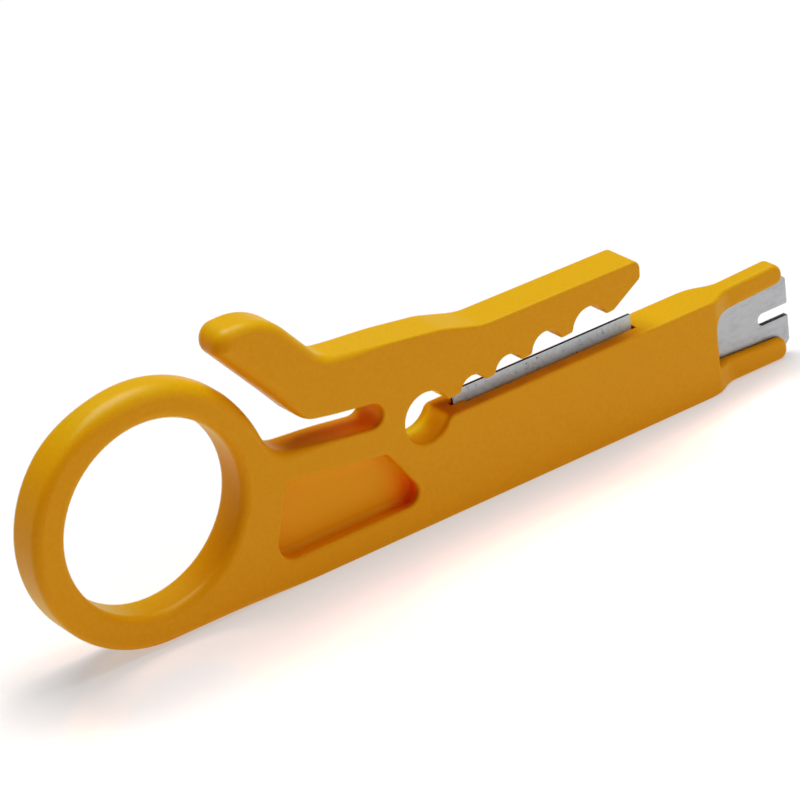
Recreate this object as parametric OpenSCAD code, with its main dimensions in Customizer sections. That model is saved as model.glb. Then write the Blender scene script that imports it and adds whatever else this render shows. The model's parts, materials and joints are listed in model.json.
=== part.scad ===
// Punch down tool: a one-piece moulded handle with a finger ring and a springy
// stripping jaw, a steel stripping blade in the jaw and a steel punch down fork
// at the tip.
//
// X runs along the tool, from the finger ring to the fork. Y runs through its
// thickness, with the front face towards -Y. Z is up. The straight bottom edge
// lies on Z = 0, and the origin is under the middle of the tool.
//
// Outlines are drawn in the XZ plane as [x, z] and extruded through Y.

/* [Body] */
// Overall length, from the ring's rim to the fork's prongs
tool_l = 92.6; // [92.4:0.1:93]
// Thickness of the moulding
body_t = 4.6; // [4.2:0.1:5.2]
// Height of the straight beam
beam_h = 10.7; // [10.5:0.05:10.8]

/* [Finger ring] */
// Outer radius of the ring, which is also its height at the centre
ring_r = 13.3; // [13.1:0.05:13.4]
// Radius of the finger hole
ring_bore_r = 9.85; // [9.5:0.05:10.4]
// Radius of the inside corner between the ring and the rail
ring_fillet_r = 4; // [2:0.1:4.2]

/* [Pocket] */
// Depth of the moulded pocket in each face
pocket_depth = 1.8; // [0.8:0.1:1.9]

/* [Spring slot and neck] */
// Half the width of the slot under the thumb tab
slot_r = 1.35; // [1.2:0.05:1.5]
// Angle by which the slot falls towards the neck, in degrees
slot_angle = 8; // [7:0.5:9]
// Radius of the relief hole on the other side of the neck
relief_r = 2.75; // [2.6:0.05:2.85]
// Radius of the outside corner where the relief hole meets the beam's top
mouth_r = 1; // [0.6:0.1:1.4]
// Length of the bending neck between the frame and the arm
neck_l = 2.2; // [1.6:0.1:2.4]

/* [Jaw] */
// Radii of the four notches, from the neck to the nose
notch_radii = [1.6, 1.7, 1.85, 2.2];
// Radius that rounds the teeth between the notches
tooth_r = 0.4; // [0.2:0.05:0.5]

/* [Stripping blade] */
// Thickness of the strip
strip_t = 0.35; // [0.3:0.05:0.6]
// Length of the strip
strip_l = 22.8; // [22:0.1:23]
// Height by which the strip stands above the beam
strip_proud = 1.35; // [1.2:0.05:1.5]
// Depth to which the strip is set into the beam
strip_set = 3; // [2:0.1:4]
// Width of the open groove on the strip's near side
groove_w = 0.5; // [0.3:0.05:0.6]
// Depth of that groove
groove_depth = 0.5; // [0.3:0.05:0.8]

/* [Punch down blade] */
// Thickness of the fork plate
fork_t = 0.6; // [0.5:0.05:0.8]
// Height of the fork plate
fork_h = 8.6; // [8.2:0.1:8.8]
// Length of the plate that is set into the body
fork_set = 6; // [4:0.5:8]
// Width of the slot that takes the wire
fork_slot_w = 1.35; // [1.2:0.05:1.6]
// Depth of that slot from the prongs
fork_slot_l = 4.05; // [3.6:0.05:4.4]
// Chamfer on the two outer corners
fork_chamfer = 0.8; // [0.4:0.1:1]

/* [Tip] */
// Thickness of the two fingers that hold the fork
finger_t = 2.2; // [1.8:0.1:2.6]
// Length of the ramp from the body's thickness to the fingers'
ramp_l = 2.2; // [1.6:0.1:2.6]
// Height by which the upper finger's end stands above the beam's top
finger_rise = 0.35; // [0:0.05:0.4]
// Length by which the fork stands out past the fingers
fork_proud = 0.9; // [0.6:0.1:1.2]

/* [Hidden] */
$fn = 64;
corner_steps = 8;

plastic = "gold";
steel = "silver";

ring_c = [ring_r - tool_l / 2, ring_r];
slot_end = [-7.8, 14.2];
relief_c = [-1.35, 11.6];

// Unit vectors along the slot, towards the neck, and up from it
slot_dir = [cos(slot_angle), -sin(slot_angle)];
slot_up = [sin(slot_angle), cos(slot_angle)];

// The neck is the thinnest place between the slot's end and the relief hole
neck_gap = norm(relief_c - slot_end);
neck_across = (relief_c - slot_end) / neck_gap;
neck_w = neck_gap - slot_r - relief_r;
neck_c = slot_end + neck_across * (slot_r + neck_w / 2);
neck_tilt = atan2(neck_across[1], neck_across[0]);

finger_end = tool_l / 2 - fork_proud;
ramp_start = 35.3;
gap_root = 35.5;

// Left end of the strip, the length of it that stands clear of the groove
// there, and the length by which the groove runs on at the other end
strip_x = 3.1;
groove_late = 1.4;
groove_over = 0.1;
fork_z = 5.1;

// A length that runs well past the tool in every direction
beyond = 2 * tool_l;

// Corner points are [x, z, radius], with the material's corners rounded by arcs
function unit(v) = v / norm(v);
function arc_from(c, a, b, r) =
    let (
        start = atan2(a[1] - c[1], a[0] - c[0]),
        turn = atan2(b[1] - c[1], b[0] - c[0]) - start,
        sweep = turn > 180 ? turn - 360 : turn < -180 ? turn + 360 : turn
    )
    [for (i = [0:corner_steps])
        let (angle = start + sweep * i / corner_steps)
        c + r * [cos(angle), sin(angle)]];
function round_corner(before, at, after) =
    let (
        p = [at[0], at[1]],
        u = unit([before[0], before[1]] - p),
        v = unit([after[0], after[1]] - p),
        half = acos(u * v) / 2,
        reach = at[2] / tan(half)
    )
    at[2] == 0 ? [p] : arc_from(p + unit(u + v) * at[2] / sin(half), p + u * reach, p + v * reach, at[2]);
function round_corners(points) =
    let (n = len(points))
    [for (i = [0:n - 1])
        each round_corner(points[(i + n - 1) % n], points[i], points[(i + 1) % n])];

// Puts an XZ outline through the thickness of the tool
module through(thickness) {
    rotate([90, 0, 0]) linear_extrude(thickness, center = true) children();
}

// The slot under the thumb tab, open towards the ring
module slot_2d() {
    translate(slot_end) circle(slot_r);
    translate(slot_end) rotate(180 - slot_angle) translate([0, -slot_r]) square([beyond, 2 * slot_r]);
}

// A square next to the neck: side is 1 for the arm's end, -1 for the frame's
module beyond_neck_2d(side) {
    reach = 3;
    middle = side * (neck_l + reach) / 2;
    translate(neck_c) rotate(neck_tilt) translate([0, middle]) square([2 * reach, reach], center = true);
}

// ---- frame ----
rail_foot = slot_end - slot_up * slot_r;
ring_along = (ring_c - rail_foot) * slot_dir;
ring_height = (ring_c - rail_foot) * slot_up;
fillet_along = ring_along + sqrt(pow(ring_r + ring_fillet_r, 2) - pow(ring_height - ring_fillet_r, 2));
fillet_foot = rail_foot + slot_dir * fillet_along;
fillet_c = fillet_foot + slot_up * ring_fillet_r;

// Centre of the rounded corner between the relief hole and the beam's top
mouth_z = beam_h - mouth_r;
mouth_c = [relief_c[0] + sqrt(pow(relief_r + mouth_r, 2) - pow(mouth_z - relief_c[1], 2)), mouth_z];

tip_corners = [
    [finger_end, 0, 1],
    [finger_end, 2.45, 1.2],
    [gap_root, 2.95, 0.3],
    [gap_root, 8.2, 1.2],
    [finger_end, 8.7, 0.9],
    [finger_end, beam_h + finger_rise, 1.3],
];
pocket_corners = [
    [-20.9, 2.95, 2],
    [-2.15, 2.95, 1.5],
    [-6.6, 9.6, 0.9],
    [-18.25, 11.3, 0.8],
];

// Filled inside corner where the rail runs into the ring
module ring_fillet_2d() {
    difference() {
        polygon([ring_c, fillet_foot, fillet_c]);
        translate(fillet_c) circle(ring_fillet_r);
    }
}

module frame_2d() {
    difference() {
        union() {
            translate(ring_c) circle(ring_r, $fn = 128);
            polygon(concat(
                [[ring_c[0], 0]],
                round_corners(concat([[0, 0, 0]], tip_corners, [[ramp_start, beam_h, 0]])),
                arc_from(mouth_c, [mouth_c[0], beam_h], relief_c, mouth_r),
                [relief_c, slot_end, rail_foot, rail_foot + slot_dir * ring_along]
            ));
            ring_fillet_2d();
        }
        translate(ring_c) circle(ring_bore_r, $fn = 128);
        translate(slot_end) circle(slot_r);
        translate(relief_c) circle(relief_r);
        beyond_neck_2d(1);
        neck_2d();
    }
}

// The tool seen from above: full thickness, then a ramp down to the fingers
module plan_2d() {
    ramp_end = ramp_start + ramp_l;
    polygon([
        [-beyond, -body_t / 2], [ramp_start, -body_t / 2], [ramp_end, -finger_t / 2],
        [beyond, -finger_t / 2], [beyond, finger_t / 2], [ramp_end, finger_t / 2],
        [ramp_start, body_t / 2], [-beyond, body_t / 2],
    ]);
}

module pockets() {
    for (side = [-1, 1])
        translate([0, side * body_t / 2, 0]) through(2 * pocket_depth) polygon(round_corners(pocket_corners));
}

// The open groove along the near side of the stripping blade
module strip_groove() {
    translate([strip_x + groove_late, -strip_t / 2 - groove_w, beam_h - groove_depth])
        cube([strip_l - groove_late + groove_over, groove_w + strip_t / 2, 2 * groove_depth]);
}

module frame() {
    color(plastic) difference() {
        intersection() {
            through(body_t) frame_2d();
            linear_extrude(beyond, center = true) plan_2d();
        }
        pockets();
        strip_groove();
        through(strip_t) strip_2d();
        through(fork_t) fork_plate_2d();
    }
}

// ---- flexure_neck ----
module neck_2d() {
    difference() {
        translate(neck_c) rotate(neck_tilt) square([neck_w + slot_r, neck_l], center = true);
        translate(slot_end) circle(slot_r);
        translate(relief_c) circle(relief_r);
    }
}

module flexure_neck() {
    color(plastic) through(body_t) neck_2d();
}

// ---- arm ----
// The teeth touch one straight line, which rises towards the nose
tooth_first = [1.1, 12.55];
tooth_last = [22.4, 14.45];
notch_x = [4.45, 8.9, 13.75, 19.3];
notch_top = [14, 14.55, 15.3, 15.95];

heel_along = 7.7;
// Where the tab's underside would meet the slot's upper edge if it weren't rounded
heel = slot_end + slot_up * slot_r - slot_dir * heel_along;
arm_corners = [
    [heel[0], heel[1], 3],
    [-23.75, 26.6, 1.2],
    [-23.75, 28.9, 1.8],
    [-17.9, 28.9, 6.7],
    [-12.3, 22.25, 3],
    [1.4, 20.3, 8],
    [6.2, 18.9, 8],
    [26.15, 18.75, 0.9],
    [26.05, 16.7, 0.6],
    [tooth_last[0], tooth_last[1], tooth_r],
    [tooth_first[0], tooth_first[1], 0],
    [relief_c[0], relief_c[1], 0],
    [slot_end[0], slot_end[1], 0],
];

module arm_2d() {
    offset(r = tooth_r) offset(delta = -tooth_r) difference() {
        polygon(round_corners(arm_corners));
        slot_2d();
        for (i = [0:len(notch_radii) - 1])
            translate([notch_x[i], notch_top[i] - notch_radii[i]]) circle(notch_radii[i]);
    }
}

module arm() {
    color(plastic) through(body_t) difference() {
        arm_2d();
        translate(slot_end) circle(slot_r);
        translate(relief_c) circle(relief_r);
        beyond_neck_2d(-1);
        neck_2d();
    }
}

// ---- stripping_blade ----
module strip_2d() {
    translate([strip_x, beam_h - strip_set]) square([strip_l, strip_set + strip_proud]);
}

module stripping_blade() {
    color(steel) through(strip_t) strip_2d();
}

// ---- punch_down_blade ----
module fork_plate_2d() {
    low = fork_z - fork_h / 2;
    high = fork_z + fork_h / 2;
    tip = tool_l / 2;
    polygon([
        [gap_root - fork_set, low], [tip - fork_chamfer, low], [tip, low + fork_chamfer],
        [tip, high - fork_chamfer], [tip - fork_chamfer, high], [gap_root - fork_set, high],
    ]);
}

module punch_down_blade() {
    slot_root = tool_l / 2 - fork_slot_l + fork_slot_w / 2;
    color(steel) through(fork_t) difference() {
        fork_plate_2d();
        translate([slot_root, fork_z]) circle(fork_slot_w / 2);
        translate([slot_root, fork_z - fork_slot_w / 2]) square([fork_slot_l, fork_slot_w]);
    }
}

frame();
flexure_neck();
arm();
stripping_blade();
punch_down_blade();
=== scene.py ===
"""The looks of the punch down tool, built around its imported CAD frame.

Outlines are drawn in the XZ plane in millimetres, as in the CAD, with the material on the left of the
way they run. An outline is a belt round circles: a corner that sticks out has turn 1, and one that goes
in has turn -1. A mesh gets its metres when it is made.
"""

import json
from math import asin, atan2, ceil, cos, pi, radians, sin, sqrt, tau

import bmesh
import bpy
import numpy as np
from mathutils import Matrix, Vector
from mathutils.geometry import delaunay_2d_cdt


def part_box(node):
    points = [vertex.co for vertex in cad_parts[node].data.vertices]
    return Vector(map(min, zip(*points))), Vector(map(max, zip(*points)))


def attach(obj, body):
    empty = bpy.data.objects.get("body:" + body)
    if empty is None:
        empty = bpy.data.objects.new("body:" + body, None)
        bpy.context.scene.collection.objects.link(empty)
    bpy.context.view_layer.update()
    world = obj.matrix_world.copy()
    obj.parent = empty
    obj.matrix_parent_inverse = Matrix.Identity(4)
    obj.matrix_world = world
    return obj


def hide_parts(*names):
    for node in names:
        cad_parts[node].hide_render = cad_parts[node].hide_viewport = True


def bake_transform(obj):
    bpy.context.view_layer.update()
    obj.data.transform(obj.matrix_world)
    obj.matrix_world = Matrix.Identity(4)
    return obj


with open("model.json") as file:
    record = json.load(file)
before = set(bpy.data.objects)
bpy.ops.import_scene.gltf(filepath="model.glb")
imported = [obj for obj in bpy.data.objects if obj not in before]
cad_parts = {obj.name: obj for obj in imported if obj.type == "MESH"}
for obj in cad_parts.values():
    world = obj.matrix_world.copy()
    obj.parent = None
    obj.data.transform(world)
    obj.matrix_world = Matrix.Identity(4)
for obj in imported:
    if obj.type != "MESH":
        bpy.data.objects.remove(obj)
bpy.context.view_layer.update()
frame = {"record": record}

MM = 0.001


def node_box(node):
    """Lowest and highest corner of a CAD node, in millimetres."""
    return [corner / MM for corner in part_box(node)]


# ---- dimensions that the frame gives ----
frame_lo, frame_hi = node_box("frame")
fork_lo, fork_hi = node_box("punch_down_blade")
strip_lo, strip_hi = node_box("stripping_blade")
ring_mount = next(m for m in frame["record"]["mounts"] if m["name"] == "finger_ring")
body_t = frame_hi.y - frame_lo.y
ring_c = Vector(ring_mount["pos_m"]).xz / MM
# The ring stands on the plane of the bottom edge, so its centre is as high as its radius
ring_r = ring_c.y
ring_bore_r = ring_mount["dims"]["r_mm"]
fork_z = (fork_lo.z + fork_hi.z) / 2

# ---- dimensions that repeat the CAD source's ----
BEAM_H = 10.7
RING_FILLET_R = 4
SLOT_END = Vector((-7.8, 14.2))
SLOT_R = 1.35
SLOT_ANGLE = radians(8)
RELIEF_C = Vector((-1.35, 11.6))
RELIEF_R = 2.75
MOUTH_R = 1
NECK_L = 2.2
TOOTH_R = 0.4
TOOTH_FIRST = Vector((1.1, 12.55))
TOOTH_LAST = Vector((22.4, 14.45))
# Each notch as x, height of its top and radius
NOTCHES = [(4.45, 14, 1.6), (8.9, 14.55, 1.7), (13.75, 15.3, 1.85), (19.3, 15.95, 2.2)]
FINGER_T = 2.2
RAMP_START = 35.3
RAMP_L = 2.2
FORK_SLOT_W = 1.35
FORK_SLOT_L = 4.05
POCKET_DEPTH = 1.8
GROOVE_W = 0.5
GROOVE_DEPTH = 0.5

TIP_CORNERS = [
    (45.4, 0, 1),
    (45.4, 2.45, 1.2),
    (35.5, 2.95, 0.3),
    (35.5, 8.2, 1.2),
    (45.4, 8.7, 0.9),
    (45.4, 11.05, 1.3),
    (RAMP_START, BEAM_H, 20),
]
NOSE_CORNERS = [(TOOTH_LAST.x, TOOTH_LAST.y, TOOTH_R), (26.05, 16.7, 0.6), (26.15, 18.75, 0.9)]
TOP_CORNERS = [
    (6.2, 18.9, 8),
    (1.4, 20.3, 8),
    (-12.3, 22.25, 3),
    (-17.9, 28.9, 6.7),
    (-23.75, 28.9, 1.8),
    (-23.75, 26.6, 1.2),
]
HEEL_R = 3
HEEL_ALONG = 7.7
POCKET_CORNERS = [(-18.25, 11.3, 0.8), (-6.6, 9.6, 0.9), (-2.15, 2.95, 1.5), (-20.9, 2.95, 2)]

# ---- dimensions of the rounded edges and the mesh ----
JAW_EDGE = 0.24
THUMB_EDGE = 1.05
RING_EDGE = 0.95
TIP_EDGE = 0.5
STRIP_EDGE = 0.05
FORK_EDGE = 0.06
# The thumb tab's end, round which its edge is widest
THUMB_C = Vector((-23, 28))
POCKET_LIP = 0.3
POCKET_FLOOR_R = 0.6
EDGE_STEPS = 7
# A face counts as a wall if its normal has less than this along Y
WALL_LEAN = 0.8
# Faces this near to the neck's middle are cut at its ends
NECK_REACH = 2.6
ARC_STEP = radians(6)
LONGEST_STEP = 0.7

slot_dir = Vector((cos(SLOT_ANGLE), -sin(SLOT_ANGLE)))
slot_up = Vector((sin(SLOT_ANGLE), cos(SLOT_ANGLE)))
neck_gap = (RELIEF_C - SLOT_END).length
neck_across = (RELIEF_C - SLOT_END) / neck_gap
neck_along = Vector((-neck_across.y, neck_across.x))
neck_c = SLOT_END + neck_across * (SLOT_R + (neck_gap - SLOT_R - RELIEF_R) / 2)


def smooth(low, high, value):
    """0 below low, 1 above high, and a smooth rise between."""
    t = min(max((value - low) / (high - low), 0), 1)
    return t * t * (3 - 2 * t)


# ---- outlines ----
def corner_circles(corners):
    """The circles that round the corners (x, z, radius) of an open line, between its first and last."""
    circles = []
    for before, at, after in zip(corners, corners[1:], corners[2:]):
        p = Vector(at[:2])
        u = (Vector(before[:2]) - p).normalized()
        v = (Vector(after[:2]) - p).normalized()
        centre = p + (u + v).normalized() * at[2] / sin(u.angle(v) / 2)
        circles.append((centre, at[2], 1 if u.cross(v) < 0 else -1))
    return circles


def closed_corner_circles(corners):
    return corner_circles([corners[-1], *corners, corners[0]])


def arc(centre, radius, turn, start, sweep):
    """Points with their outward normals, from the way that the line runs at the arc's start."""
    steps = max(1, ceil(abs(sweep) / ARC_STEP), ceil(abs(sweep) * radius / LONGEST_STEP))
    way = [start + sweep * i / steps for i in range(steps + 1)]
    outward = [Vector((sin(a), -cos(a))) for a in way]
    return [(centre + n * turn * radius, n) for n in outward]


def filled(samples):
    """The closed line without doubled points, and with long straight stretches divided."""
    line = []
    for (p, n), (q, m) in zip(samples, samples[1:] + samples[:1]):
        length = (q - p).length
        if length < 1e-4:
            continue
        steps = ceil(length / LONGEST_STEP)
        line += [(p.lerp(q, i / steps), n.lerp(m, i / steps).normalized()) for i in range(steps)]
    return line


def belt(circles):
    """The outline that runs round the circles (centre, radius, turn) along their common tangents."""
    ways = []
    for (a, ra, ta), (b, rb, tb) in zip(circles, circles[1:] + circles[:1]):
        reach = b - a
        lean = asin(min(max((ta * ra - tb * rb) / reach.length, -1), 1))
        ways.append(atan2(reach.y, reach.x) + lean)
    samples = []
    for i, (centre, radius, turn) in enumerate(circles):
        sweep = (turn * (ways[i] - ways[i - 1])) % tau
        samples += arc(centre, radius, turn, ways[i - 1], 0 if sweep > tau - 1e-5 else turn * sweep)
    return filled(samples)


def hole(centre, radius):
    """A round hole's outline, which runs clockwise."""
    return filled(arc(centre, radius, -1, 0, -tau)[:-1])


def tangent_circle(line_p, line_u, centre, radius, r, side):
    """A circle of radius r that touches a line from above and another circle, on that circle's side."""
    above = Vector((-line_u.y, line_u.x))
    foot = line_p + above * r
    along = (centre - foot).dot(line_u)
    height = (centre - foot).dot(above)
    return foot + line_u * (along + side * sqrt((radius + r) ** 2 - height**2))


def jaw_circles():
    """The row of rounded teeth and round notches, from the relief hole to the nose."""
    tooth_u = (TOOTH_LAST - TOOTH_FIRST).normalized()
    voids = [(RELIEF_C, RELIEF_R)] + [(Vector((x, top - r)), r) for x, top, r in NOTCHES]
    circles = []
    for i, (centre, radius) in enumerate(voids):
        if i:
            left = tangent_circle(TOOTH_FIRST, tooth_u, centre, radius, TOOTH_R, -1)
            circles.append((left, TOOTH_R, 1))
        circles.append((centre, radius, -1))
        right = tangent_circle(TOOTH_FIRST, tooth_u, centre, radius, TOOTH_R, 1)
        circles.append((right, TOOTH_R, 1))
    return circles


def body_outline():
    """The whole moulding's outer edge: beam, tip, jaw, thumb tab, slot and ring."""
    mouth_z = BEAM_H - MOUTH_R
    mouth_reach = sqrt((RELIEF_R + MOUTH_R) ** 2 - (mouth_z - RELIEF_C.y) ** 2)
    mouth_c = Vector((RELIEF_C.x + mouth_reach, mouth_z))
    heel = SLOT_END + slot_up * SLOT_R - slot_dir * HEEL_ALONG
    heel_next = heel + slot_dir
    rail = SLOT_END - slot_up * SLOT_R
    height = (ring_c - rail).dot(slot_up)
    fillet_along = (ring_c - rail).dot(slot_dir) + sqrt(
        (ring_r + RING_FILLET_R) ** 2 - (height - RING_FILLET_R) ** 2
    )
    fillet_c = rail + slot_dir * fillet_along + slot_up * RING_FILLET_R
    tip = corner_circles([(0, 0), *TIP_CORNERS, (mouth_c.x, BEAM_H)])
    rest = [*NOSE_CORNERS, *TOP_CORNERS, (heel.x, heel.y, HEEL_R)]
    arm = corner_circles([tuple(TOOTH_FIRST), *rest, tuple(heel_next)])
    return belt(
        [(ring_c, ring_r, 1), *tip, (mouth_c, MOUTH_R, 1), *jaw_circles(), *arm]
        + [(SLOT_END, SLOT_R, -1), (fillet_c, RING_FILLET_R, -1)]
    )


def moulding_edge(p):
    """Radius of the moulding's rounded edge at a point of its outline.

    The jaw's radius goes over smoothly into those of the thumb tab, the ring and the tip.
    """
    thumb_near, thumb_far, thumb_low, thumb_high = 13, 21, 16, 21
    ring_near, ring_far = 14, 22
    tip_start, tip_full = 33.5, 36
    thumb = 1 - smooth(thumb_near, thumb_far, (p - THUMB_C).length)
    thumb *= smooth(thumb_low, thumb_high, p.y)
    ring = 1 - smooth(ring_near, ring_far, (p - ring_c).length)
    tip = smooth(tip_start, tip_full, p.x)
    return (
        JAW_EDGE
        + (THUMB_EDGE - JAW_EDGE) * thumb
        + (RING_EDGE - JAW_EDGE) * ring
        + (TIP_EDGE - JAW_EDGE) * tip
    )


def moulding_half_t(x):
    """Half the moulding's thickness: full along the body, then a ramp with soft ends to the fingers."""
    foot = RAMP_START + RAMP_L
    slope = (body_t - FINGER_T) / 2 / RAMP_L
    soft_start, soft_foot = 0.35, 0.7
    start_fall = slope * max(min(x - RAMP_START + soft_start, 2 * soft_start), 0) ** 2 / 4 / soft_start
    fall = start_fall + slope * max(x - RAMP_START - soft_start, 0)
    left = foot + soft_foot - x
    lift = slope * max(min(left, 2 * soft_foot), 0) ** 2 / 4 / soft_foot
    if x <= foot - soft_foot:
        return body_t / 2 - fall
    return FINGER_T / 2 + lift


# ---- solids ----
class Solid:
    """A plate that is the same on both sides of its middle plane, with rounded edges."""

    def __init__(self, half_t):
        self.half_t = half_t
        self.at, self.normal, self.faces = [], [], []

    def slope(self, x):
        step = 0.01
        return (self.half_t(x + step) - self.half_t(x - step)) / (2 * step)

    def point(self, p, y, wall, rise):
        """Adds a point. Its normal leans from the wall's to the face's by rise, 0 to a quarter turn."""
        face = Vector((-self.slope(p.x), 1, 0)).normalized()
        self.at.append((p.x, y, p.y))
        self.normal.append((Vector((wall.x, 0, wall.y)) * cos(rise) + face * sin(rise)).normalized())
        return len(self.at) - 1

    def row(self, line, insets, drops, rise):
        """One ring of points, moved in from the line by insets, drops below the face."""
        moved = [p - n * inset for (p, n), inset in zip(line, insets)]
        return [
            self.point(p, self.half_t(p.x) - drop, n, rise)
            for p, (_, n), drop in zip(moved, line, drops)
        ]

    def band(self, low, high):
        """Quads between two rings, the second nearer to the face."""
        for i in range(len(low)):
            j = (i + 1) % len(low)
            self.faces.append((low[j], low[i], high[i], high[j]))

    def rounded_edge(self, line, radii):
        """The rings of an edge that turns from the wall to the face, the wall's first."""
        rings = []
        for i in range(EDGE_STEPS + 1):
            rise = pi / 2 * i / EDGE_STEPS
            insets = [r * (1 - cos(rise)) for r in radii]
            drops = [r * (1 - sin(rise)) for r in radii]
            rings.append(self.row(line, insets, drops, rise))
        return rings

    def stack(self, rings):
        for low, high in zip(rings, rings[1:]):
            self.band(low, high)
        return rings[-1]

    def wall(self, line, radii):
        """The wall up from the middle plane and its rounded edge. Gives the ring where the face starts."""
        middle = [self.point(p, 0, n, 0) for p, n in line]
        return self.stack([middle, *self.rounded_edge(line, radii)])

    def pocket(self, line, lip, floor_r, depth, spacing):
        """A pocket in the face, with a rounded lip and a filleted floor. Gives the ring of its lip."""
        rings = []
        for i in range(EDGE_STEPS + 1):
            rise = pi / 2 * (1 - i / EDGE_STEPS)
            inset = -floor_r * (1 - cos(rise))
            drop = depth - floor_r * (1 - sin(rise))
            rings.append(self.row(line, [inset] * len(line), [drop] * len(line), rise))
        self.face([rings[0]], spacing, depth)
        return self.stack(rings + self.rounded_edge(line, [lip] * len(line)))

    def face(self, rings, spacing, drop=0):
        """Fills the flat between rings with triangles on a grid of inner points."""
        sizes = [len(ring) for ring in rings]
        names = [i for ring in rings for i in ring]
        flat = np.array([(self.at[i][0], self.at[i][2]) for i in names])
        inner = inner_points(flat, sizes, spacing)
        names += [self.point(Vector(p), self.half_t(p[0]) - drop, Vector((0, 0)), pi / 2) for p in inner]
        points = [Vector(p) for p in flat] + [Vector(p) for p in inner]
        edges, start = [], 0
        for n in sizes:
            edges += [(start + i, start + (i + 1) % n) for i in range(n)]
            start += n
        all_triangles, tolerance = 0, 1e-7
        made = delaunay_2d_cdt(points, edges, [], all_triangles, tolerance)
        corner_points, _, triangles, sources, _, _ = made
        corners = np.array([corner_points[i][:] for tri in triangles for i in tri])
        keep = inside(corners.reshape(-1, 3, 2).mean(axis=1), flat, sizes)
        for tri, kept in zip(triangles, keep):
            if kept:
                a, b, c = [names[sources[i][0]] for i in tri]
                self.faces.append((c, b, a))

    def mesh(self):
        """The closed bmesh of both halves, in metres, with each point's normal in the layer n."""
        bm = bmesh.new()
        layer = bm.verts.layers.float_vector.new("n")
        sides = []
        for side in (1, -1):
            flip = Vector((1, side, 1))
            made = []
            for i, (p, n) in enumerate(zip(self.at, self.normal)):
                if side < 0 and p[1] == 0:
                    made.append(sides[0][i])
                    continue
                v = bm.verts.new(Vector(p) * flip * MM)
                v[layer] = n * flip
                made.append(v)
            sides.append(made)
            for face in self.faces:
                bm.faces.new([made[i] for i in face[::side]])
        return bm


def inside(points, flat, sizes):
    """Which points lie in the material, by how many of the rings' edges a ray to the right crosses."""
    ends, start = np.empty_like(flat), 0
    for n in sizes:
        ends[start:start + n] = np.roll(flat[start:start + n], -1, axis=0)
        start += n
    x, y = points[:, :1], points[:, 1:]
    (ax, ay), (bx, by) = flat.T, ends.T
    spans = (ay > y) != (by > y)
    with np.errstate(divide="ignore", invalid="ignore"):
        cross = ax + (y - ay) * (bx - ax) / (by - ay)
    return (spans & (x < cross)).sum(axis=1) % 2 == 1


def inner_points(flat, sizes, spacing):
    """Points of a grid inside the rings. spacing is a list of (step x, step z, xmin, xmax, zmin, zmax)."""
    apart = 0.55
    found = np.empty((0, 2))
    low, high = flat.min(axis=0), flat.max(axis=0)
    for step_x, step_z, x0, x1, z0, z1 in spacing:
        xs = np.arange(max(low[0], x0), min(high[0], x1), step_x) + step_x / 2
        zs = np.arange(max(low[1], z0), min(high[1], z1), step_z) + step_z / 2
        grid = np.stack(np.meshgrid(xs, zs), axis=-1).reshape(-1, 2)
        grid = grid[inside(grid, flat, sizes)]
        near = np.concatenate([flat, found])
        scale = np.array([step_x, step_z])
        gap = np.array([np.min(np.hypot(*((near - p) / scale).T)) for p in grid])
        found = np.concatenate([found, grid[gap > apart]])
    return found


# Grids of inner points, coarse all over, and fine on the ramp and round the neck
EVERYWHERE = (-100, 100, -100, 100)
PLAIN_GRID = [(1.6, 1.6, *EVERYWHERE)]
BODY_GRID = [
    (0.12, 0.45, RAMP_START - 0.4, RAMP_START + RAMP_L + 0.9, -1, 12),
    (0.35, 0.35, neck_c.x - 2.6, neck_c.x + 2.6, neck_c.y - 2.4, neck_c.y + 2.4),
    *PLAIN_GRID,
]


def moulding():
    """The whole yellow moulding in one closed mesh."""
    solid = Solid(moulding_half_t)
    outer = body_outline()
    bore = hole(ring_c, ring_bore_r)
    pocket = belt(closed_corner_circles(POCKET_CORNERS))
    rings = [
        solid.wall(outer, [moulding_edge(p) for p, _ in outer]),
        solid.wall(bore, [RING_EDGE] * len(bore)),
        solid.pocket(pocket, POCKET_LIP, POCKET_FLOOR_R, POCKET_DEPTH, PLAIN_GRID),
    ]
    solid.face(rings, BODY_GRID)
    return solid.mesh()


def plate(circles, thickness, edge):
    """A flat steel plate with finely rounded edges."""
    solid = Solid(lambda x: thickness / 2)
    line = belt(circles)
    solid.face([solid.wall(line, [edge] * len(line))], PLAIN_GRID)
    return solid.mesh()


# ---- cutting ----
def flat_layer(bm):
    """The layer that marks faces with one normal of their own."""
    return bm.faces.layers.int.get("flat") or bm.faces.layers.int.new("flat")


def seam_groups(bm):
    """The groups of faces that no seam divides."""
    bm.faces.ensure_lookup_table()
    groups, seen = [], set()
    for start in bm.faces:
        if start in seen:
            continue
        group, todo = set(), [start]
        seen.add(start)
        while todo:
            f = todo.pop()
            group.add(f)
            across = [g for e in f.edges if not e.seam for g in e.link_faces]
            for g in across:
                if g not in seen:
                    seen.add(g)
                    todo.append(g)
        groups.append(group)
    return groups


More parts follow.
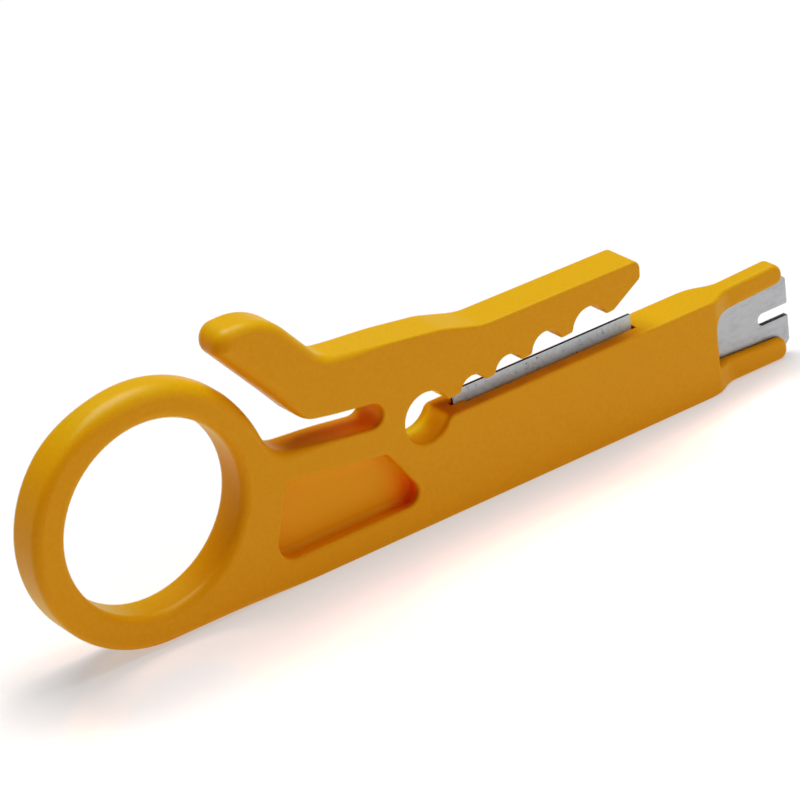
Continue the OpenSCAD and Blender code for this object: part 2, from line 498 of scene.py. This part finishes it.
def cut_neck(bm):
    """Cuts the moulding across both ends of its neck. Gives {name: closed bmesh}."""
    past_nose, above_neck = 30 * MM, 20 * MM
    centre = Vector((neck_c.x, 0, neck_c.y)) * MM
    along = Vector((neck_along.x, 0, neck_along.y))
    for side in (-1, 1):
        near = [f for f in bm.faces if (f.calc_center_median() - centre).xz.length < NECK_REACH * MM]
        geom = set(near)
        for f in near:
            geom.update(f.verts)
            geom.update(f.edges)
        plane = centre + along * side * NECK_L / 2 * MM
        cut = bmesh.ops.bisect_plane(bm, geom=list(geom), dist=1e-8, plane_co=plane, plane_no=along)
        for e in cut["geom_cut"]:
            if isinstance(e, bmesh.types.BMEdge):
                e.seam = True
    pieces = {}
    for group in seam_groups(bm):
        name = "neck"
        if max(v.co.z for f in group for v in f.verts) > above_neck:
            name = "arm"
        if max(v.co.x for f in group for v in f.verts) > past_nose:
            name = "frame"
        pieces[name] = closed_part(bm, group)
    return pieces


def closed_part(bm, group):
    """A copy of some faces of a mesh, with the openings that the cuts left filled."""
    keep = {f.index for f in group}
    part = bm.copy()
    part.faces.ensure_lookup_table()
    away = [f for f in part.faces if f.index not in keep]
    bmesh.ops.delete(part, geom=away, context="FACES")
    flat = flat_layer(part)
    rims = [e for e in part.edges if e.is_boundary]
    for f in bmesh.ops.holes_fill(part, edges=rims, sides=0)["faces"]:
        f[flat] = 1
    bmesh.ops.recalc_face_normals(part, faces=part.faces)
    return part


def new_object(name, bm):
    """The scene's new object of a bmesh, which is freed."""
    data = bpy.data.meshes.new(name)
    bm.to_mesh(data)
    bm.free()
    made = bpy.data.objects.new(name, data)
    bpy.context.scene.collection.objects.link(made)
    return made


def make_piece(name, bm, material, wall_material=None):
    """The object of a bmesh, with its points' own normals on its corners.

    The wall material goes on what doesn't face the front or the back.
    """
    flat = flat_layer(bm)
    layer = bm.verts.layers.float_vector["n"]
    corner = bm.loops.layers.float_vector.new("normal_kept")
    bm.normal_update()
    for f in bm.faces:
        f.smooth = True
        if wall_material and abs(f.normal.y) < WALL_LEAN:
            f.material_index = 1
        for loop in f.loops:
            loop[corner] = f.normal if f[flat] else loop.vert[layer].normalized()
    piece = new_object(name, bm)
    piece.data.materials.append(material)
    if wall_material:
        piece.data.materials.append(wall_material)
    return piece


def keep_normals(piece):
    """Sets the shading normals that the mesh carries, and drops the layers that held them."""
    data = piece.data
    kept = np.empty(len(data.loops) * 3, np.float32)
    data.attributes["normal_kept"].data.foreach_get("vector", kept)
    data.normals_split_custom_set(kept.reshape(-1, 3))
    for name in ("normal_kept", "n", "flat"):
        if name in data.attributes:
            data.attributes.remove(data.attributes[name])


def cutter(name, profile, low_x, high_x):
    """A prism along X over a profile of (y, z), whose kept normals point inwards as the cut's walls need."""
    bm = bmesh.new()
    ends = [[bm.verts.new(Vector((x, y, z)) * MM) for y, z in profile] for x in (low_x, high_x)]
    bm.faces.new(ends[0])
    bm.faces.new(ends[1][::-1])
    n = len(profile)
    for i in range(n):
        j = (i + 1) % n
        bm.faces.new((ends[0][i], ends[1][i], ends[1][j], ends[0][j]))
    bmesh.ops.recalc_face_normals(bm, faces=bm.faces)
    corner = bm.loops.layers.float_vector.new("normal_kept")
    for f in bm.faces:
        f.smooth = True
        for loop in f.loops:
            loop[corner] = -f.normal
    return new_object(name, bm)


def cut_away(piece, tools):
    """Cuts the tools out of the piece, and removes them."""
    for tool in tools:
        mod = piece.modifiers.new(tool.name, "BOOLEAN")
        mod.operation = "DIFFERENCE"
        mod.solver = "EXACT"
        mod.object = tool
    bpy.context.view_layer.update()
    cut = bpy.data.meshes.new_from_object(piece.evaluated_get(bpy.context.evaluated_depsgraph_get()))
    piece.modifiers.clear()
    old, piece.data = piece.data, cut
    cut.name = old.name
    for tool in tools:
        bpy.data.objects.remove(tool)


def groove_profile():
    """The open groove beside the stripping blade, with a soft lip and a round floor."""
    lip, floor_r, steps = 0.16, 0.2, 5
    top, above = BEAM_H, BEAM_H + 1
    near = strip_lo.y - GROOVE_W
    deep = top - GROOVE_DEPTH
    quarter = [pi / 2 * i / steps for i in range(steps + 1)]
    mouth = [(near - lip * (1 - sin(a)), top - lip * (1 - cos(a))) for a in quarter]
    floor = [(near + floor_r * (1 - cos(a)), deep + floor_r * (1 - sin(a))) for a in quarter]
    return [(near - lip, above), *mouth, *floor, (0, deep), (0, above)]


def box_profile(low_y, high_y, low_z, high_z):
    return [(low_y, low_z), (high_y, low_z), (high_y, high_z), (low_y, high_z)]


def frame_cuts():
    """The slots that the two blades sit in, with a hair of room round each, and the groove."""
    gap, past = 0.09, 1
    slot_start, slot_end = strip_lo.x - 0.3, strip_hi.x + gap
    groove_start, groove_end = strip_lo.x + 1.2, strip_hi.x + 0.15
    strip = box_profile(strip_lo.y - gap, strip_hi.y + gap, strip_lo.z, BEAM_H + past)
    fork = box_profile(fork_lo.y - gap, fork_hi.y + gap, fork_lo.z - gap, fork_hi.z + gap)
    return [
        cutter("strip_slot", strip, slot_start, slot_end),
        cutter("strip_groove", groove_profile(), groove_start, groove_end),
        cutter("fork_slot", fork, fork_lo.x, fork_hi.x + past),
    ]


# ---- blades ----
def stripping_blade_circles():
    """The stripping blade seen from the front, with its corners broken."""
    low, high, root_r, edge_r = strip_lo.z, strip_hi.z, 0.1, 0.12
    return closed_corner_circles(
        [
            (strip_lo.x, low, root_r),
            (strip_hi.x, low, root_r),
            (strip_hi.x, high, edge_r),
            (strip_lo.x, high, edge_r),
        ]
    )


def fork_circles():
    """The fork seen from the front: two chamfered prongs and a round-ended slot for the clip."""
    tip, low, high = fork_hi.x, fork_lo.z, fork_hi.z
    cham, tiny, upper_r = 0.8, 0.1, 0.2
    half = FORK_SLOT_W / 2
    root = tip - FORK_SLOT_L + half
    under = corner_circles(
        [
            (fork_lo.x, high),
            (fork_lo.x, low, tiny),
            (tip - cham, low, tiny),
            (tip, low + cham, tiny),
            (tip, fork_z - half, tiny),
            (root, fork_z - half),
        ]
    )
    over = corner_circles(
        [
            (root, fork_z + half),
            (tip, fork_z + half, upper_r),
            (tip, high - cham, tiny),
            (tip - cham, high, tiny),
            (fork_lo.x, high, tiny),
            (fork_lo.x, low),
        ]
    )
    return [*under, (Vector((root, fork_z)), half, -1), *over]


# ---- materials ----
class Shader:
    """A material's node tree, with short ways to add and join nodes."""

    def __init__(self, name):
        self.material = bpy.data.materials.new(name)
        self.material.use_nodes = True
        self.tree = self.material.node_tree
        self.surface = self.tree.nodes["Principled BSDF"]
        self.place = self.node("ShaderNodeTexCoord").outputs["Object"]

    def node(self, kind, **settings):
        made = self.tree.nodes.new(kind)
        for name, value in settings.items():
            if name in made.inputs:
                made.inputs[name].default_value = value
            else:
                setattr(made, name, value)
        return made

    def join(self, source, target):
        self.tree.links.new(source, target)

    def scaled(self, x, y, z):
        made = self.node("ShaderNodeMapping")
        made.inputs["Scale"].default_value = (x, y, z)
        self.join(self.place, made.inputs["Vector"])
        return made.outputs["Vector"]

    def noise(self, place, scale, detail=3, roughness=0.5):
        made = self.node("ShaderNodeTexNoise")
        made.inputs["Scale"].default_value = scale
        made.inputs["Detail"].default_value = detail
        made.inputs["Roughness"].default_value = roughness
        self.join(place, made.inputs["Vector"])
        return made.outputs["Fac"]

    def ramp(self, value, stops):
        made = self.node("ShaderNodeValToRGB")
        ramp = made.color_ramp
        while len(ramp.elements) < len(stops):
            ramp.elements.new(0.5)
        for element, (at, colour) in zip(ramp.elements, stops):
            element.position = at
            element.color = (*colour, 1)
        self.join(value, made.inputs["Fac"])
        return made.outputs["Color"]

    def mapped(self, value, start, end, interpolation="LINEAR"):
        """The value read off a rise or fall from start to end, each a pair of value and result."""
        made = self.node("ShaderNodeMapRange", interpolation_type=interpolation)
        made.inputs["From Min"].default_value, made.inputs["To Min"].default_value = start
        made.inputs["From Max"].default_value, made.inputs["To Max"].default_value = end
        self.join(value, made.inputs["Value"])
        return made.outputs["Result"]

    def spread(self, value, low, high):
        """The value's middle half stretched to run from low to high."""
        return self.mapped(value, (0.25, low), (0.75, high))

    def fade(self, value, full, none):
        """1 where the value is at most full, falling smoothly to 0 at none."""
        return self.mapped(value, (full, 1), (none, 0), "SMOOTHSTEP")

    def flattened(self):
        """The place with its Y taken out."""
        return self.scaled(1, 0, 1)

    def inner(self):
        """1 on surfaces inside the moulding's thickness, falling to 0 at its two faces. It keeps the painted
        hollow light off the faces.
        """
        split = self.node("ShaderNodeSeparateXYZ")
        self.join(self.place, split.inputs["Vector"])
        away = self.node("ShaderNodeMath", operation="ABSOLUTE")
        self.join(split.outputs["Y"], away.inputs[0])
        return self.fade(away.outputs["Value"], 1.2 * MM, 2.1 * MM)

    def product(self, a, b, factor):
        """Two values and a number multiplied together."""
        both = self.node("ShaderNodeMath", operation="MULTIPLY")
        self.join(a, both.inputs[0])
        self.join(b, both.inputs[1])
        made = self.node("ShaderNodeMath", operation="MULTIPLY")
        self.join(both.outputs["Value"], made.inputs[0])
        made.inputs[1].default_value = factor
        return made.outputs["Value"]

    def mix(self, amount, below, tone):
        """The colour below, turned into the tone by the amount."""
        made = self.node("ShaderNodeMix", data_type="RGBA")
        # The sockets for colours share their names with those for other kinds of value
        first, second, result = made.inputs[6], made.inputs[7], made.outputs[2]
        self.join(amount, made.inputs["Factor"])
        self.join(below, first)
        second.default_value = (*tone, 1)
        return result

    def bump(self, value, height, before=None):
        made = self.node("ShaderNodeBump")
        made.inputs["Strength"].default_value = 1
        made.inputs["Distance"].default_value = height
        self.join(value, made.inputs["Height"])
        if before is not None:
            self.join(before, made.inputs["Normal"])
        return made.outputs["Normal"]


# Painted light in the hollows, as centre (x, z), radii of the full painted tone and of its end, share of the
# tone, and tone
PAINTED_HOLLOW_LIGHT = [
    ((-12, 7), (6, 11), 1, (0.85, 0.375, 0.022)),
    ((-3, 4.2), (0.3, 4.6), 0.75, (0.95, 0.20, 0.012)),
    ((-7.2, 14.2), (1.6, 6.5), 0.85, (0.97, 0.43, 0.06)),
    ((-1.35, 11.6), (2.8, 3.2), 1, (1, 0.62, 0.03)),
]


def yellow_plastic():
    """Yellow ABS with a fine moulded grain, a faint flow of colour and a warmer tone painted into its
    hollows.

    Light that has passed through the plastic comes back redder where walls stand close together. Here that
    light and its shade are painted into the base colour as redder, brighter or darker tones.
    """
    s = Shader("yellow_plastic")
    cloud = s.noise(s.place, 2800, detail=5, roughness=0.7)
    colour = s.ramp(cloud, [(0.35, (0.73, 0.33, 0.013)), (0.65, (0.77, 0.355, 0.016))])
    # Painted bounce light and shade: each hollow's tone is painted into the base colour
    for (x, z), (full, end), share, tone in PAINTED_HOLLOW_LIGHT:
        near = s.node("ShaderNodeVectorMath", operation="DISTANCE")
        s.join(s.flattened(), near.inputs[0])
        near.inputs[1].default_value = Vector((x, 0, z)) * MM
        reach = s.fade(near.outputs["Value"], full * MM, end * MM)
        colour = s.mix(s.product(reach, s.inner(), share), colour, tone)
    s.join(colour, s.surface.inputs["Base Color"])
    grain = s.noise(s.place, 5200, detail=2)
    s.join(s.spread(grain, 0.38, 0.48), s.surface.inputs["Roughness"])
    soft = s.bump(s.noise(s.place, 450, detail=2), 0.006 * MM)
    s.join(s.bump(grain, 0.0035 * MM, soft), s.surface.inputs["Normal"])
    s.surface.inputs["IOR"].default_value = 1.4
    return s.material


def strip_steel():
    """Ground strip steel, bright, with fine lines along it and small dark specks.

    Its base is bluish, because the plastic beside it throws orange light on it.
    """
    s = Shader("strip_steel")
    lines = s.noise(s.scaled(0.06, 1, 1), 2600)
    cloud = s.noise(s.place, 2600, detail=5, roughness=0.7)
    specks = [(0.33, (0.20, 0.22, 0.24)), (0.36, (0.66, 0.80, 0.92)), (0.65, (0.75, 0.91, 1))]
    s.join(s.ramp(cloud, specks), s.surface.inputs["Base Color"])
    s.join(s.spread(lines, 0.34, 0.5), s.surface.inputs["Roughness"])
    s.join(s.bump(lines, 0.002 * MM), s.surface.inputs["Normal"])
    s.surface.inputs["Metallic"].default_value = 0.1
    return s.material


def fork_steel():
    """Blanked sheet steel with a satin face and a darker slanting mottle."""
    s = Shader("fork_steel")
    slanted = s.node("ShaderNodeMapping")
    slanted.inputs["Rotation"].default_value = (0, radians(40), 0)
    slanted.inputs["Scale"].default_value = (0.35, 1, 1)
    s.join(s.place, slanted.inputs["Vector"])
    mottle = s.noise(slanted.outputs["Vector"], 1700, detail=6, roughness=0.7)
    tones = [(0.33, (0.39, 0.395, 0.407)), (0.5, (0.475, 0.48, 0.492)), (0.67, (0.52, 0.525, 0.537))]
    s.join(s.ramp(mottle, tones), s.surface.inputs["Base Color"])
    fine = s.noise(s.place, 4200)
    s.join(s.spread(mottle, 0.36, 0.52), s.surface.inputs["Roughness"])
    s.join(s.bump(fine, 0.002 * MM), s.surface.inputs["Normal"])
    s.surface.inputs["Metallic"].default_value = 0.8
    return s.material


def cut_steel_and_painted_shade():
    """The dark, torn edge that shearing leaves on steel sheet, with painted shade: the blades' edges are
    drawn darker than their faces for the shade that they lie in.
    """
    s = Shader("cut_steel_and_painted_shade")
    cloud = s.noise(s.place, 3000, detail=4)
    # Partly painted shade: these dark tones also stand in for the shade on the blades' thin edges
    tones = [(0.3, (0.10, 0.10, 0.11)), (0.7, (0.22, 0.22, 0.23))]
    s.join(s.ramp(cloud, tones), s.surface.inputs["Base Color"])
    s.join(s.bump(cloud, 0.004 * MM), s.surface.inputs["Normal"])
    s.surface.inputs["Roughness"].default_value = 0.55
    s.surface.inputs["Metallic"].default_value = 0.8
    return s.material


def floor_material():
    """A glossy white light table. Its own glow keeps the tool's shadow faint."""
    s = Shader("pale_floor")
    s.surface.inputs["Base Color"].default_value = (0.62, 0.57, 0.575, 1)
    s.surface.inputs["Emission Color"].default_value = (1, 1, 1, 1)
    s.surface.inputs["Emission Strength"].default_value = 0.4
    s.surface.inputs["Roughness"].default_value = 0.09
    return s.material


# ---- pieces ----
def add_pieces():
    yellow, strip, fork, cut = yellow_plastic(), strip_steel(), fork_steel(), cut_steel_and_painted_shade()
    parts = cut_neck(moulding())
    body = make_piece("moulded_frame", parts["frame"], yellow)
    cut_away(body, frame_cuts())
    neck = make_piece("moulded_neck", parts["neck"], yellow)
    arm = make_piece("moulded_arm", parts["arm"], yellow)
    strip_mesh = plate(stripping_blade_circles(), strip_hi.y - strip_lo.y, STRIP_EDGE)
    fork_mesh = plate(fork_circles(), fork_hi.y - fork_lo.y, FORK_EDGE)
    blade = make_piece("stripping_blade_strip", strip_mesh, strip, cut)
    punch = make_piece("punch_down_fork", fork_mesh, fork, cut)
    for piece in (body, neck, arm, blade, punch):
        keep_normals(piece)

    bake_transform(neck)
    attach(body, "frame")
    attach(arm, "arm")
    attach(blade, "frame")
    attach(punch, "frame")
    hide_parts("frame")
    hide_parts("flexure_neck")
    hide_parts("arm")
    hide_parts("stripping_blade")
    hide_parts("punch_down_blade")


# ---- studio ----
CAMERA_AZIMUTH = radians(33.09)
CAMERA_ELEVATION = radians(26.65)
CAMERA_ROLL = radians(-7.10)
CAMERA_DISTANCE = 388.9
CAMERA_TARGET = Vector((-2.93, 0, 13.42))
CAMERA_LENS = 179.0

# Soft boxes as name, place, aim, size, watts and colour
SOFT_BOXES = [
    ("overhead", (0.06, 0.1, 0.6), (0.01, 0, 0), (0.5, 0.4), 4.7, (0.91, 1, 0.99)),
    ("front_right", (0.3, -0.68, 0.26), (0, 0, 0.01), (0.4, 0.25), 0.7, (0.97, 0.98, 1)),
    ("edge_light", (0.39, -0.34, 0.58), (0, 0, 0.01), (0.07, 0.07), 0.3, (1, 1, 0.96)),
]

# Scene light that the film shows as paper white, and the curve from light to shown tone
PAPER_WHITE = 1.03
FILM_CURVE = [
    (0, 0),
    (0.042, 0.010),
    (0.15, 0.10),
    (0.27, 0.205),
    (0.42, 0.385),
    (0.57, 0.52),
    (0.90, 0.76),
    (PAPER_WHITE, 1),
]


def add_camera():
    az, el = CAMERA_AZIMUTH, CAMERA_ELEVATION
    ahead = Vector((sin(az) * cos(el), cos(az) * cos(el), -sin(el)))
    level = ahead.cross(Vector((0, 0, 1))).normalized()
    upright = level.cross(ahead)
    right = level * cos(CAMERA_ROLL) + upright * sin(CAMERA_ROLL)
    up = right.cross(ahead)
    turn = Matrix((right, up, -ahead)).transposed()
    data = bpy.data.cameras.new("camera")
    data.lens = CAMERA_LENS
    data.sensor_width = 36
    data.clip_start = 0.01
    camera = bpy.data.objects.new("camera", data)
    camera.matrix_world = Matrix.Translation((CAMERA_TARGET - ahead * CAMERA_DISTANCE) * MM) @ turn.to_4x4()
    bpy.context.scene.collection.objects.link(camera)
    bpy.context.scene.camera = camera


def add_soft_box(name, at, aim, size, power, colour):
    data = bpy.data.lights.new(name, "AREA")
    data.shape = "RECTANGLE"
    data.size, data.size_y = size
    data.energy = power
    data.color = colour
    light = bpy.data.objects.new(name, data)
    light.location = at
    light.rotation_euler = (Vector(aim) - Vector(at)).to_track_quat("-Z", "Y").to_euler()
    bpy.context.scene.collection.objects.link(light)


def add_studio():
    floor_size, floor_gap = 3, 0.00002
    bpy.ops.mesh.primitive_plane_add(size=floor_size, location=(0, 0, -floor_gap))
    floor = bpy.context.object
    floor.name = "floor"
    floor.data.materials.append(floor_material())
    for soft_box in SOFT_BOXES:
        add_soft_box(*soft_box)
    bpy.context.scene.world = studio_walls()
    set_film()


def studio_walls():
    """A dim white room with a bright band low down, level with the floor's far edge."""
    world = bpy.data.worlds.new("studio")
    world.use_nodes = True
    nodes, links = world.node_tree.nodes, world.node_tree.links
    way = nodes.new("ShaderNodeTexCoord").outputs["Generated"]
    height = nodes.new("ShaderNodeSeparateXYZ")
    links.new(way, height.inputs["Vector"])
    band = nodes.new("ShaderNodeMapRange")
    band.interpolation_type = "SMOOTHSTEP"
    for name, value in [("From Min", 0.07), ("From Max", 0.22), ("To Min", 0.85), ("To Max", 0.15)]:
        band.inputs[name].default_value = value
    links.new(height.outputs["Z"], band.inputs["Value"])
    nodes["Background"].inputs["Color"].default_value = (1, 1, 1, 1)
    links.new(band.outputs["Result"], nodes["Background"].inputs["Strength"])
    return world


def set_film():
    """A film-like tone curve: a short toe, a straight middle and a shoulder that ends at paper white."""
    view = bpy.context.scene.view_settings
    view.view_transform = "Standard"
    view.use_curve_mapping = True
    curves = view.curve_mapping
    curves.white_level = (PAPER_WHITE,) * 3
    # The fourth curve is the one for all three colours together
    combined = curves.curves[3]
    for light, shown in FILM_CURVE[1:-1]:
        combined.points.new(light / PAPER_WHITE, shown)
    curves.update()


add_camera()
add_pieces()
add_studio()
